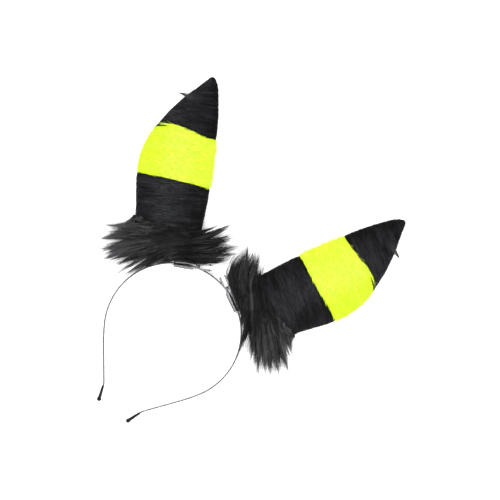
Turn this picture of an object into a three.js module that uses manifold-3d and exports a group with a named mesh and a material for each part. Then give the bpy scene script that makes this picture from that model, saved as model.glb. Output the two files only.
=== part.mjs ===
// Cat ears headband: two padded plush ears with long fur ruffs, clipped to a thin steel wire hoop.
// Millimetres, +Z up. It lies on its back: X runs across the head and Y towards the tips of the ears.
// The origin is on the surface it lies on, in the middle of its outline.
import * as THREE from 'three';
import { mergeVertices } from 'three/addons/utils/BufferGeometryUtils.js';
import Module from 'manifold-3d';

const wasm = await Module();
wasm.setup();

const DEG = Math.PI / 180;
const GAP = 0.35; // between pieces that touch

// Wire hoop, drawn from its crown down the right side
const CROWN_Y = 3.3; // where the crown lies, ahead of the origin
const WIRE_RADIUS = 0.7;
const WIRE_LEVEL = 1.9; // height of the wire above the surface
const HOOP_HALF_WIDTH = 58.5;
const HOOP_RISE = 57.1; // from the widest level up to the crown
const SHOULDER = { radius: 58, turn: 32 * DEG };
const LEG = { radius: 180, turn: 5.5 * DEG, straight: 31 };
const FLARE = { radius: 8, turn: 17.5 * DEG, straight: 10 };
const WIRE_SIDES = 8;
const WIRE_STEPS = 90;

// End caps: a sleeve on the flared end of the wire, closed by a ball that rests on the surface
const CAP = { radius: 1.3, sleeve: 10.4, start: 1.2, ball: WIRE_LEVEL, sides: 12 };

// Ears: where the middle of the base lies, from the hoop's crown, and how far each ear leans out
const EAR_X = 40;
const EAR_Y = 4.4;
const EAR_LEAN = 24 * DEG;
const SEAM_LEVEL = 0.38; // height of the widest line, as a share of the depth
const BACK_WIDTH = 0.7; // flat back, as a share of the width
const CROWN_POWER = 0.75; // lower is fuller
const EAR_TIP = { along: 145.6, across: 3, height: 1.6 };
const LOWER_SEAM = 52.4; // along the ear, where the black panel meets the yellow one
const UPPER_SEAM = { along: 93, arch: 3.7, skew: 4.5 }; // where the yellow panel meets the tip
const FACE_SEGMENTS = 12;
const CORNER_SEGMENTS = 3;

// Shape of the ear along its length: its edges each side of the base point, depth, and lift of its back
const EAR_SECTIONS = [
  { along: -14, inner: -16.5, outer: 35.5, depth: 12, lift: 2.4 },
  { along: 0, inner: -17.0, outer: 39.0, depth: 13.5, lift: 2.4 },
  { along: 13, inner: -17.2, outer: 41.2, depth: 14, lift: 2.0 },
  { along: 23, inner: -16.8, outer: 42.2, depth: 15.5, lift: 0 },
  { along: 36, inner: -16.8, outer: 45.6, depth: 15.5, lift: 0 },
  { along: 50, inner: -16.3, outer: 48.5, depth: 15.5, lift: 0 },
  { along: 64, inner: -15.1, outer: 48.9, depth: 15, lift: 0 },
  { along: 80, inner: -13.6, outer: 46.7, depth: 13.5, lift: 0 },
  { along: 96, inner: -11.7, outer: 40.0, depth: 12, lift: 0 },
  { along: 112, inner: -9.3, outer: 30.9, depth: 9.8, lift: 0 },
  { along: 126, inner: -6.2, outer: 20.4, depth: 7.6, lift: 0 },
  { along: 136, inner: -3.7, outer: 12.0, depth: 5.6, lift: 0 },
  { along: 142, inner: -0.9, outer: 7.2, depth: 4.2, lift: 0 },
  { along: 145, inner: 1.6, outer: 4.5, depth: 3, lift: 0 },
];

// Ruff: a sewn backing round the base of the ear, with the fur in locks that sweep away from it
const BACKING = 2.4; // reach of the backing outside the ear
const BACKING_TOP = 12;
const LOCK_SIDES = 5;
const LOCK_STATIONS = [0, 0.34, 0.7];
const LOCK_FLATNESS = 0.62; // thickness of a lock as a share of its width

// Rows of locks, each from its first root to its last: place on the ear, heading from straight
// outwards, length, and height of the tip. A root with no height of its own is on the ear's face.
const LOCK_ROWS = [
  {
    count: 5,
    width: 8.5,
    first: { across: 8, along: -9, heading: -43, length: 33, tip: 5.5 },
    last: { across: 33, along: -10, heading: -35, length: 30, tip: 4 },
  },
  {
    count: 6,
    width: 9,
    first: { across: -6, along: -4, heading: -32, length: 33, tip: 12 },
    last: { across: 38, along: -5, heading: -27, length: 27, tip: 4 },
  },
  {
    count: 6,
    width: 9,
    first: { across: -9, along: 3, heading: -26, length: 32, tip: 15.5 },
    last: { across: 39, along: 3, heading: -20, length: 25, tip: 6 },
  },
  {
    count: 5,
    width: 9,
    first: { across: -6, along: 9, heading: -20, length: 30, tip: 17.5 },
    last: { across: 39, along: 9, heading: -13, length: 20, tip: 8 },
  },
  {
    count: 4,
    width: 6.5,
    first: { across: 38, along: -11, height: 3.6, heading: -36, length: 24, tip: 1.6 },
    last: { across: 42, along: 8, height: 3.6, heading: -12, length: 16, tip: 1.6 },
  },
  {
    count: 4,
    width: 9,
    first: { across: -9, along: -4, heading: 186, length: 29, tip: 8 },
    last: { across: -9, along: 8, heading: 144, length: 32, tip: 9 },
  },
  {
    count: 4,
    width: 6.5,
    first: { across: -16, along: -4.5, height: 4, heading: 182, length: 20, tip: 2 },
    last: { across: -16, along: 9, height: 4, heading: 146, length: 23, tip: 2 },
  },
];

// Clips: two sprung leaves on a pin. The wire lies between the jaws and leaves under the hinge, because
// the clip sits with its tail raised. Places are along the clip from its pin, and out towards the ear.
const CLIP_SLOPE = 28.5 * DEG; // fall of the clip's line towards the jaws
const CLIP_PITCH = 11 * DEG; // how far its tail is raised
const CLIP_LEVEL = 7.4; // height of the middle of the pin
const JAW_LENGTH = 22.5;
const TAIL_LENGTH = 12.5;
const TIP_PAST_GRIP = 8; // from where the wire runs along the clip to the tips of the jaws
const LEAF_THICKNESS = 0.6;
const LEAF_WIDTH = 7;
const JAW_TIP_WIDTH = 5;
const TAPER_START = 4;
const LEAF_STEPS = 14;
const EAR_SEAT = 2.75; // from the clip's line out to the ear's base
const PLATE_LINE = [
  { along: -TAIL_LENGTH, out: 2.1 },
  { along: -8, out: 1.85 },
  { along: -3, out: 1.75 },
  { along: 3, out: 1.85 },
  { along: 9, out: 2.0 },
  { along: 16, out: 1.6 },
  { along: JAW_LENGTH, out: 1.0 },
];
const LEVER_LINE = [
  { along: -TAIL_LENGTH, out: -1.7 },
  { along: -8, out: -1.75 },
  { along: -3, out: -1.8 },
  { along: 3, out: -2.2 },
  { along: 9, out: -2.4 },
  { along: 15, out: -1.95 },
  { along: JAW_LENGTH, out: -1.95 },
];
const LUG = { radius: 1.2, hole: 0.72, thickness: 0.6 };
const PLATE_LUG_OUTSIDE = LEAF_WIDTH / 2;
const LEVER_LUG_OUTSIDE = PLATE_LUG_OUTSIDE - LUG.thickness - GAP;
const PIN = { radius: 0.42, head: 0.85, headHeight: 0.35, sides: 10 };
const SPRING = { radius: 0.94, wire: 0.2, turns: 4, length: 2.6, sides: 5, stepsPerTurn: 8 };

const MATERIALS = {
  wire: new THREE.MeshStandardMaterial({ color: 0x85888c, roughness: 0.35, metalness: 1 }),
  clip: new THREE.MeshStandardMaterial({ color: 0xc4c7ca, roughness: 0.25, metalness: 1 }),
  cap: new THREE.MeshStandardMaterial({ color: 0x121316, roughness: 0.4, metalness: 0 }),
  black: new THREE.MeshStandardMaterial({ color: 0x1f2023, roughness: 0.9, metalness: 0 }),
  yellow: new THREE.MeshStandardMaterial({ color: 0xe3fb35, roughness: 0.9, metalness: 0 }),
};

// A closed mesh as a solid that can be joined and cut, and back
function solidOf(geometry) {
  const bare = geometry.clone();
  bare.deleteAttribute('normal');
  bare.deleteAttribute('uv');
  const merged = mergeVertices(bare);
  const vertProperties = new Float32Array(merged.attributes.position.array);
  const corners = merged.index.array;
  const faces = [];
  for (let i = 0; i < corners.length; i += 3) {
    const face = corners.slice(i, i + 3);
    if (new Set(face).size === 3) faces.push(...face);
  }
  const triVerts = new Uint32Array(faces);
  return new wasm.Manifold(new wasm.Mesh({ numProp: 3, vertProperties, triVerts }));
}

function geometryOf(solid) {
  const mesh = solid.getMesh();
  const geometry = new THREE.BufferGeometry();
  geometry.setAttribute('position', new THREE.BufferAttribute(mesh.vertProperties, 3));
  geometry.setIndex(new THREE.BufferAttribute(mesh.triVerts, 1));
  geometry.computeVertexNormals();
  return geometry;
}

// The same piece for the other side of the head
function mirrored(geometry) {
  const other = geometry.index ? geometry.toNonIndexed() : geometry.clone();
  other.deleteAttribute('normal');
  other.deleteAttribute('uv');
  const position = other.attributes.position;
  const corner = new THREE.Vector3();
  const swapped = new Float32Array(position.count * 3);
  for (let i = 0; i < position.count; i += 1) {
    const place = i % 3 === 0 ? i : 3 * Math.floor(i / 3) + (3 - (i % 3));
    corner.fromBufferAttribute(position, i);
    swapped.set([-corner.x, corner.y, corner.z], 3 * place);
  }
  other.setAttribute('position', new THREE.BufferAttribute(swapped, 3));
  other.computeVertexNormals();
  return other;
}

// A closed skin over rings of points, from the first ring to the last one or to a point
function skin(rings, end = null) {
  const size = rings[0].length;
  const points = rings.flat();
  const middle = (ring) => ring.reduce((sum, p) => sum.add(p), new THREE.Vector3()).divideScalar(size);
  const startCentre = points.push(middle(rings[0])) - 1;
  const endCentre = points.push(end ?? middle(rings.at(-1))) - 1;
  const lastRing = (rings.length - 1) * size;
  const faces = [];
  for (let k = 0; k < size; k += 1) {
    const next = (k + 1) % size;
    faces.push(startCentre, k, next);
    for (let r = 0; r < lastRing; r += size) {
      faces.push(r + k, r + size + k, r + size + next);
      faces.push(r + k, r + size + next, r + next);
    }
    faces.push(endCentre, lastRing + next, lastRing + k);
  }
  const geometry = new THREE.BufferGeometry().setFromPoints(points);
  geometry.setIndex(faces);
  geometry.computeVertexNormals();
  return geometry;
}

// A regular polygon, the section of a round wire
function roundSection(radius, sides) {
  const corners = Array.from({ length: sides }, (_, k) => {
    const angle = (2 * Math.PI * k) / sides;
    return new THREE.Vector2(radius * Math.cos(angle), radius * Math.sin(angle));
  });
  return new THREE.Shape(corners);
}

// Bends a path by an arc that starts in its heading, to the right for a positive turn
function bend(path, heading, { radius, turn }) {
  const side = Math.sign(turn);
  const centreX = path.currentPoint.x + side * radius * Math.sin(heading);
  const centreY = path.currentPoint.y - side * radius * Math.cos(heading);
  const start = heading + (side * Math.PI) / 2;
  path.absarc(centreX, centreY, radius, start, start - turn, side > 0);
  return heading - turn;
}

function run(path, heading, length) {
  const end = path.currentPoint;
  path.lineTo(end.x + length * Math.cos(heading), end.y + length * Math.sin(heading));
}

// Right half of the hoop's middle line, with the place and heading of the end that takes the cap
function halfHoop() {
  const path = new THREE.Path();
  path.moveTo(0, 0);
  path.absellipse(0, -HOOP_RISE, HOOP_HALF_WIDTH, HOOP_RISE, Math.PI / 2, 0, true);
  let heading = bend(path, -Math.PI / 2, SHOULDER);
  heading = bend(path, heading, LEG);
  run(path, heading, LEG.straight);
  heading = bend(path, heading, { radius: FLARE.radius, turn: -FLARE.turn });
  const mouth = path.currentPoint.clone();
  run(path, heading, FLARE.straight);
  return { path, mouth, heading };
}

function bandWire(path) {
  const right = path.getSpacedPoints(WIRE_STEPS / 2);
  const left = right.slice(1).reverse();
  const line = [
    ...left.map((p) => new THREE.Vector3(-p.x, p.y, WIRE_LEVEL)),
    ...right.map((p) => new THREE.Vector3(p.x, p.y, WIRE_LEVEL)),
  ];
  const extrudePath = new THREE.CatmullRomCurve3(line);
  const section = roundSection(WIRE_RADIUS, WIRE_SIDES);
  return new THREE.ExtrudeGeometry(section, { steps: WIRE_STEPS, extrudePath });
}

// Cap turned about its own line, with a blind bore for the wire, mouth at the origin and ball along +Y
function tipCap() {
  const bore = WIRE_RADIUS + 0.25;
  const boreEnd = FLARE.straight - CAP.start + GAP;
  const neck = Math.asin(CAP.radius / CAP.ball);
  const ballAt = CAP.sleeve + CAP.ball * Math.cos(neck);
  const profile = [
    new THREE.Vector2(0, boreEnd),
    new THREE.Vector2(bore, boreEnd),
    new THREE.Vector2(bore, 0),
    new THREE.Vector2(CAP.radius, 0),
  ];
  const steps = 6;
  for (let k = 0; k <= steps; k += 1) {
    const angle = Math.PI - neck - ((Math.PI - neck) * k) / steps;
    const radius = k === steps ? 0 : CAP.ball * Math.sin(angle);
    profile.push(new THREE.Vector2(radius, ballAt + CAP.ball * Math.cos(angle)));
  }
  return new THREE.LatheGeometry(profile, CAP.sides);
}

// A column of the ear's table at any place along it, on a smooth curve through the rows
function earColumn(column, along) {
  const rows = EAR_SECTIONS;
  const at = Math.min(Math.max(along, rows[0].along), rows.at(-1).along);
  let k = rows.findIndex((row) => row.along >= at);
  k = Math.min(Math.max(k, 1), rows.length - 1);
  const slope = (i) => {
    const before = rows[Math.max(i - 1, 0)];
    const after = rows[Math.min(i + 1, rows.length - 1)];
    return (after[column] - before[column]) / (after.along - before.along);
  };
  const span = rows[k].along - rows[k - 1].along;
  const t = (at - rows[k - 1].along) / span;
  const start = rows[k - 1][column];
  const end = rows[k][column];
  const cubic = (2 * t - 3) * t * t;
  const bow = slope(k - 1) * t * (1 - t) * (1 - t) - slope(k) * t * t * (1 - t);
  return start + (start - end) * cubic + span * bow;
}

// One cross-section of the ear: crowned face, round edges and flat back. A ring may slope or arch
// across the ear, with the arch skewed to its outer side. It is drawn in by its inset, or grown all
// round by a negative one.
function earRing({ along, slope = 0, arch = 0, skew = 0, inset = 0 }) {
  const middle = (earColumn('inner', along) + earColumn('outer', along)) / 2;
  const half = (earColumn('outer', along) - earColumn('inner', along)) / 2 - inset;
  const lift = earColumn('lift', along);
  const back = Math.max(lift + Math.min(inset, 0), 0);
  const seam = lift + SEAM_LEVEL * earColumn('depth', along);
  const face = lift + earColumn('depth', along) - inset;
  const ring = [];
  const put = (share, height) => {
    const across = middle + half * share;
    const bow = slope * across + (arch + skew * share) * (1 - share * share);
    ring.push(new THREE.Vector3(across, along + bow, height));
  };
  for (let k = 0; k <= FACE_SEGMENTS; k += 1) {
    const angle = (Math.PI * k) / FACE_SEGMENTS;
    const rise = Math.max(Math.sin(angle), 0) ** CROWN_POWER;
    put(Math.cos(angle), seam + (face - seam) * rise);
  }
  const corner = (side, k) => {
    const angle = (Math.PI / 2) * (k / CORNER_SEGMENTS);
    const share = BACK_WIDTH + (1 - BACK_WIDTH) * Math.cos(angle);
    put(side * share, seam - (seam - back) * Math.sin(angle));
  };
  for (let k = 1; k <= CORNER_SEGMENTS; k += 1) corner(-1, k);
  for (let k = CORNER_SEGMENTS; k >= 1; k -= 1) corner(1, k);
  return ring;
}

// Height of the ear's face, for the roots of the fur
function faceHeight(across, along) {
  const inner = earColumn('inner', along);
  const outer = earColumn('outer', along);
  const share = THREE.MathUtils.clamp((2 * across - inner - outer) / (outer - inner), -0.98, 0.98);
  const rise = Math.sin(Math.acos(share)) ** CROWN_POWER;
  const depth = earColumn('depth', along);
  return earColumn('lift', along) + depth * (SEAM_LEVEL + (1 - SEAM_LEVEL) * rise);
}

// Where the clip's pin lies, from the hoop's crown, and the line along the ear's base that sits on it
const clipLine = new THREE.Vector2(Math.cos(CLIP_SLOPE), -Math.sin(CLIP_SLOPE));
const gripTurn = Math.atan((Math.tan(CLIP_SLOPE) * HOOP_HALF_WIDTH) / HOOP_RISE);
const grip = new THREE.Vector2(HOOP_HALF_WIDTH * Math.sin(gripTurn), HOOP_RISE * (Math.cos(gripTurn) - 1));
const pinPlace = grip.clone().addScaledVector(clipLine, TIP_PAST_GRIP - JAW_LENGTH);
const seat = pinPlace.clone().addScaledVector(new THREE.Vector2(-clipLine.y, clipLine.x), EAR_SEAT);
const seatOnEar = seat.sub(new THREE.Vector2(EAR_X, EAR_Y)).rotateAround(new THREE.Vector2(), EAR_LEAN);
const BASE_SLOPE = -Math.tan(CLIP_SLOPE - EAR_LEAN);
const BASE_ALONG = seatOnEar.y - BASE_SLOPE * seatOnEar.x;

// Lower part of the ear, drawn in at its base and at the seam, or grown to fit round it
function earLower(grow = 0) {
  const rows = [
    { along: BASE_ALONG - grow, slope: BASE_SLOPE, inset: 0.8 },
    { along: BASE_ALONG + 2, slope: BASE_SLOPE },
    { along: -3, slope: BASE_SLOPE / 2 },
    { along: 6 },
    { along: 14 },
    { along: 23 },
    { along: 36 },
    { along: 49 },
    { along: LOWER_SEAM - GAP / 2, inset: 0.9 },
  ];
  return skin(rows.map((row) => earRing({ ...row, inset: (row.inset ?? 0) - grow })));
}

// The upper seam's bow, which the rings near it share less and less
function seamBow(share) {
  return { arch: UPPER_SEAM.arch * share, skew: UPPER_SEAM.skew * share };
}

function earBand() {
  const { along } = UPPER_SEAM;
  const rows = [
    { along: LOWER_SEAM + GAP / 2, inset: 0.9 },
    { along: LOWER_SEAM + 3 },
    { along: 64 },
    { along: 73, ...seamBow(0.3) },
    { along: 82, ...seamBow(0.6) },
    { along: along - 3, ...seamBow(1) },
    { along: along - GAP / 2, ...seamBow(1), inset: 0.9 },
  ];
  return skin(rows.map(earRing));
}

function earTip() {
  const { along } = UPPER_SEAM;
  const rows = [
    { along: along + GAP / 2, ...seamBow(1), inset: 0.9 },
    { along: along + 3, ...seamBow(1) },
    { along: 106, ...seamBow(0.5) },
    { along: 115 },
    { along: 123 },
    { along: 130 },
    { along: 136 },
    { along: 140.5 },
    { along: 143.5 },
    { along: 145 },
  ];
  const point = new THREE.Vector3(EAR_TIP.across, EAR_TIP.along, EAR_TIP.height);
  return skin(rows.map(earRing), point);
}

// One lock of fur: a flattened spike along a curve that leaves its root upwards and bends over to its tip
function furLock(root, { heading, length, tip }, width) {
  const turn = heading * DEG;
  const end = root.clone();
  end.x += length * Math.cos(turn);
  end.y += length * Math.sin(turn);
  end.z = tip;
  const bow = root.clone().lerp(end, 0.5);
  bow.z = Math.max(root.z, tip) + 0.06 * length;
  const line = new THREE.QuadraticBezierCurve3(root, bow, end);
  const rings = LOCK_STATIONS.map((t) => {
    const middle = line.getPoint(t);
    const ahead = line.getTangent(t);
    const side = ahead.clone().cross(new THREE.Vector3(0, 0, 1)).normalize();
    const up = side.clone().cross(ahead);
    const half = (width / 2) * (1 - t ** 1.5);
    return Array.from({ length: LOCK_SIDES }, (_, k) => {
      const angle = (2 * Math.PI * k) / LOCK_SIDES;
      const point = middle.clone().addScaledVector(side, half * Math.cos(angle));
      return point.addScaledVector(up, half * LOCK_FLATNESS * Math.sin(angle));
    });
  });
  return skin(rings, end);
}

function earRuff() {
  const backing = [
    { along: BASE_ALONG, slope: BASE_SLOPE, inset: 0.6 - BACKING },
    { along: BASE_ALONG + 2, slope: BASE_SLOPE, inset: -BACKING },
    { along: -3, slope: BASE_SLOPE / 2, inset: -BACKING },
    { along: 5, inset: -BACKING },
    { along: BACKING_TOP, inset: 0.4 - BACKING },
  ];
  let ruff = solidOf(skin(backing.map(earRing)));
  for (const { count, width, first, last } of LOCK_ROWS) {
    for (let k = 0; k < count; k += 1) {
      const share = k / (count - 1);
      const between = (column) => THREE.MathUtils.lerp(first[column], last[column], share);
      const long = k % 2 === 0 ? 1 : 0.88;
      const sweep = {
        heading: between('heading') + (k % 3 === 1 ? 4 : -2),
        length: between('length') * long,
        tip: between('tip'),
      };
      const across = between('across');
      const along = between('along');
      const height = first.height ? between('height') : faceHeight(across, along);
      ruff = ruff.add(solidOf(furLock(new THREE.Vector3(across, along, height), sweep, width)));
    }
  }
  return geometryOf(ruff.subtract(solidOf(earLower(GAP))));
}

// Outline of a leaf seen square on, as a block that trims the bent strip to its rounded ends
function leafOutline() {
  const half = LEAF_WIDTH / 2;
  const tipHalf = JAW_TIP_WIDTH / 2;
  const depth = 4 * LEAF_WIDTH;
  const outline = new THREE.Shape();
  outline.moveTo(TAPER_START, -half);
  outline.lineTo(JAW_LENGTH - tipHalf, -tipHalf);
  outline.absarc(JAW_LENGTH - tipHalf, 0, tipHalf, -Math.PI / 2, Math.PI / 2, false);
  outline.lineTo(TAPER_START, half);
  outline.lineTo(half - TAIL_LENGTH, half);
  outline.absarc(half - TAIL_LENGTH, 0, half, Math.PI / 2, 1.5 * Math.PI, false);
  outline.closePath();
  const block = new THREE.ExtrudeGeometry(outline, { depth, bevelEnabled: false, curveSegments: 5 });
  return block.rotateX(Math.PI / 2).translate(0, depth / 2, 0);
}

// Lug that carries the pin: a flat ear from the leaf to round the pin's hole
function lug(leafOut, outside, end) {
  const side = Math.sign(leafOut);
  const shape = new THREE.Shape();
  shape.moveTo(-LUG.radius, leafOut);
  shape.lineTo(-LUG.radius, 0);
  shape.absarc(0, 0, LUG.radius, Math.PI, 0, side < 0);
  shape.lineTo(LUG.radius, leafOut);
  shape.closePath();
  shape.holes.push(roundSection(LUG.hole, PIN.sides));
  const plate = new THREE.ExtrudeGeometry(shape, {
    depth: LUG.thickness,
    bevelEnabled: false,
    curveSegments: 5,
  });
  return plate.translate(0, 0, end > 0 ? outside - LUG.thickness : -outside);
}

// A leaf of the clip: a bent strip of steel with its two lugs
function clipLeaf(line, lugOutside) {
  const curve = new THREE.SplineCurve(line.map((p) => new THREE.Vector2(p.along, p.out)));
  const edge = (side) =>
    Array.from({ length: LEAF_STEPS + 1 }, (_, k) => {
      const t = k / LEAF_STEPS;
      const ahead = curve.getTangent(t);
      const offset = (side * LEAF_THICKNESS) / 2;
      return curve.getPoint(t).add(new THREE.Vector2(-ahead.y * offset, ahead.x * offset));
    });
  const strip = new THREE.Shape([...edge(-1), ...edge(1).reverse()]);
  const bent = new THREE.ExtrudeGeometry(strip, { depth: LEAF_WIDTH, bevelEnabled: false });
  let leaf = solidOf(bent.translate(0, 0, -LEAF_WIDTH / 2)).intersect(solidOf(leafOutline()));
  const leafOut = line.find((p) => p.along === -3).out;
  for (const end of [-1, 1]) leaf = leaf.add(solidOf(lug(leafOut, lugOutside, end)));
  return geometryOf(leaf);
}

function clipPin() {
  const neck = LEAF_WIDTH / 2 + GAP;
  const end = neck + PIN.headHeight;
  const profile = [
    new THREE.Vector2(0, -end),
    new THREE.Vector2(PIN.head, -end),
    new THREE.Vector2(PIN.head, -neck),
    new THREE.Vector2(PIN.radius, -neck),
    new THREE.Vector2(PIN.radius, neck),
    new THREE.Vector2(PIN.head, neck),
    new THREE.Vector2(PIN.head, end),
    new THREE.Vector2(0, end),
  ];
  return new THREE.LatheGeometry(profile, PIN.sides).rotateX(Math.PI / 2);
}

class Coil extends THREE.Curve {
  getPoint(t, target = new THREE.Vector3()) {
    const angle = 2 * Math.PI * SPRING.turns * t;
    const { radius, length } = SPRING;
    return target.set(radius * Math.cos(angle), radius * Math.sin(angle), (t - 0.5) * length);
  }
}

function clipSpring() {
  const section = roundSection(SPRING.wire, SPRING.sides);
  const steps = SPRING.turns * SPRING.stepsPerTurn;
  return new THREE.ExtrudeGeometry(section, { steps, extrudePath: new Coil() });
}

function mesh(name, geometry, material) {
  const piece = new THREE.Mesh(geometry, material);
  piece.name = name;
  return piece;
}

const headband = new THREE.Group();
headband.position.y = CROWN_Y;

const hoop = halfHoop();
headband.add(mesh('band_wire', bandWire(hoop.path), MATERIALS.wire));

const cap = tipCap();
const earPieces = [
  { name: 'ear_lower', geometry: earLower(), material: MATERIALS.black },
  { name: 'ear_band', geometry: earBand(), material: MATERIALS.yellow },
  { name: 'ear_tip', geometry: earTip(), material: MATERIALS.black },
  { name: 'ear_ruff', geometry: earRuff(), material: MATERIALS.black },
];
const clipPieces = [
  { name: 'clip_plate', geometry: clipLeaf(PLATE_LINE, PLATE_LUG_OUTSIDE), material: MATERIALS.clip },
  { name: 'clip_lever', geometry: clipLeaf(LEVER_LINE, LEVER_LUG_OUTSIDE), material: MATERIALS.clip },
  { name: 'clip_pin', geometry: clipPin(), material: MATERIALS.clip },
  { name: 'clip_spring', geometry: clipSpring(), material: MATERIALS.clip },
];

for (const [sideName, side] of [['right', 1], ['left', -1]]) {
  const handed = (geometry) => (side > 0 ? geometry : mirrored(geometry));

  const capPiece = mesh(`tip_cap_${sideName}`, cap, MATERIALS.cap);
  const capX = hoop.mouth.x + CAP.start * Math.cos(hoop.heading);
  const capY = hoop.mouth.y + CAP.start * Math.sin(hoop.heading);
  capPiece.position.set(side * capX, capY, WIRE_LEVEL);
  capPiece.rotation.z = side * (hoop.heading - Math.PI / 2);
  headband.add(capPiece);

  const ear = new THREE.Group();
  ear.position.set(side * EAR_X, EAR_Y, 0);
  ear.rotation.z = -side * EAR_LEAN;
  for (const { name, geometry, material } of earPieces) {
    ear.add(mesh(`${name}_${sideName}`, handed(geometry), material));
  }
  headband.add(ear);

  const clip = new THREE.Group();
  clip.position.set(side * pinPlace.x, pinPlace.y, CLIP_LEVEL);
  clip.rotation.set(0, side * CLIP_PITCH, -side * CLIP_SLOPE, 'ZYX');
  for (const { name, geometry, material } of clipPieces) {
    clip.add(mesh(`${name}_${sideName}`, handed(geometry), material));
  }
  headband.add(clip);
}

export default headband;
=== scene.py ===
import math

import bmesh
import bpy
import numpy as np
from mathutils import Matrix, Vector
from mathutils.bvhtree import BVHTree
from mathutils.kdtree import KDTree


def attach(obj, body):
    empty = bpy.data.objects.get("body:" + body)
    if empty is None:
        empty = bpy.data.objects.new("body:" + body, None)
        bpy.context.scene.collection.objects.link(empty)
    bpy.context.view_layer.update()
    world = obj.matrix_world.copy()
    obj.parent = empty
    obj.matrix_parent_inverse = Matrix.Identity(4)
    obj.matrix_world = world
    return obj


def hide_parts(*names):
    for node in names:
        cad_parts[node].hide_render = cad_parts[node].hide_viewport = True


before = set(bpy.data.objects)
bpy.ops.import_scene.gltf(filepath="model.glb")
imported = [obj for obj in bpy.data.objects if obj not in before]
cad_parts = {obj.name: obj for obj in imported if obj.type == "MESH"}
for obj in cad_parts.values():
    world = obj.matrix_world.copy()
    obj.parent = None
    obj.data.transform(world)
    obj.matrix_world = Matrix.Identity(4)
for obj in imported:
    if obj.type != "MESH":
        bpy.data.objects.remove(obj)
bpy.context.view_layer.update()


# Wire hoop: one length of sprung steel wire, bent in a single plane to hug the head, with both ends
# flared outwards. It is drawn wire, left bare, so its grey skin is satin with faint handling marks.
MM = 0.001
CROWN_Y = 3.3 * MM
WIRE_RADIUS = 0.7 * MM
WIRE_LEVEL = 1.9 * MM
WIRE_SIDES = 16
HOOP_HALF_WIDTH = 58.5 * MM
HOOP_RISE = 57.1 * MM
HOOP_STEPS = 48
SHOULDER = {"radius": 58 * MM, "turn": math.radians(32), "steps": 14}
LEG = {"radius": 180 * MM, "turn": math.radians(5.5), "steps": 5}
LEG_STRAIGHT = 31 * MM
FLARE = {"radius": 8 * MM, "turn": math.radians(-17.5), "steps": 6}
FLARE_STRAIGHT = 10 * MM


def towards(heading):
    return np.array((math.cos(heading), math.sin(heading), 0.0))


def bend(points, heading, radius, turn, steps):
    """Adds an arc to a path, to the right for a positive turn, and gives its new heading."""
    chord = 2 * radius * math.sin(abs(turn) / steps / 2)
    for _ in range(steps):
        points.append(points[-1] + chord * towards(heading - turn / steps / 2))
        heading -= turn / steps
    return heading


def right_half_hoop():
    """Middle line of the wire from its crown to its right end, and the flare's start and heading."""
    points = []
    for angle in np.linspace(0, math.pi / 2, HOOP_STEPS):
        across = HOOP_HALF_WIDTH * math.sin(angle)
        along = CROWN_Y + HOOP_RISE * (math.cos(angle) - 1)
        points.append(np.array((across, along, WIRE_LEVEL)))
    heading = bend(points, -math.pi / 2, **SHOULDER)
    heading = bend(points, heading, **LEG)
    points.append(points[-1] + LEG_STRAIGHT * towards(heading))
    heading = bend(points, heading, **FLARE)
    flare_start = points[-1]
    points.append(points[-1] + FLARE_STRAIGHT * towards(heading))
    return np.array(points), flare_start, heading


def turned(path, radii, sides):
    """Points and faces of a round bar along a flat path, closed at both ends."""
    ahead = np.gradient(path, axis=0)
    ahead /= np.linalg.norm(ahead, axis=1, keepdims=True)
    level = np.cross(ahead, (0, 0, 1))
    angles = 2 * math.pi * np.arange(sides) / sides
    spokes = np.multiply.outer(np.ones(len(path)), np.multiply.outer(np.sin(angles), (0, 0, 1)))
    spokes += np.cos(angles)[None, :, None] * level[:, None]
    rings = path[:, None] + np.asarray(radii)[:, None, None] * spokes
    points = np.concatenate([rings.reshape(-1, 3), path[:1], path[-1:]])
    first_end, last_end = len(points) - 2, len(points) - 1
    last_ring = (len(path) - 1) * sides
    faces = []
    for k in range(sides):
        after = (k + 1) % sides
        faces.append((first_end, after, k))
        faces.append((last_end, last_ring + k, last_ring + after))
        for ring in range(0, last_ring, sides):
            faces.append((ring + k, ring + after, ring + sides + after, ring + sides + k))
    return points, faces


def placed(name, data):
    """A new object in the scene from a mesh, a lamp or a camera."""
    thing = bpy.data.objects.new(name, data)
    bpy.context.scene.collection.objects.link(thing)
    return thing


def new_piece(name, points, faces, material):
    """A smooth piece of the object from points and faces."""
    mesh = bpy.data.meshes.new(name)
    mesh.from_pydata([tuple(p) for p in points], [], faces)
    shell = bmesh.new()
    shell.from_mesh(mesh)
    bmesh.ops.recalc_face_normals(shell, faces=shell.faces[:])
    shell.to_mesh(mesh)
    shell.free()
    mesh.shade_smooth()
    mesh.materials.append(material)
    return placed(name, mesh)


def noise_node(tree, scale, detail):
    noise = tree.nodes.new("ShaderNodeTexNoise")
    noise.inputs["Scale"].default_value = scale
    noise.inputs["Detail"].default_value = detail
    return noise


def new_group(name, inputs, outputs):
    """A node group with its sockets, and its entry and exit."""
    group = bpy.data.node_groups.new(name, "ShaderNodeTree")
    for way, sockets in (("INPUT", inputs), ("OUTPUT", outputs)):
        for socket, kind in sockets.items():
            group.interface.new_socket(socket, in_out=way, socket_type=f"NodeSocket{kind}")
    return group, group.nodes.new("NodeGroupInput"), group.nodes.new("NodeGroupOutput")


def new_material(name):
    """A material with its node tree and its shader."""
    material = bpy.data.materials.new(name)
    material.use_nodes = True
    return material, material.node_tree, material.node_tree.nodes["Principled BSDF"]


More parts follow.
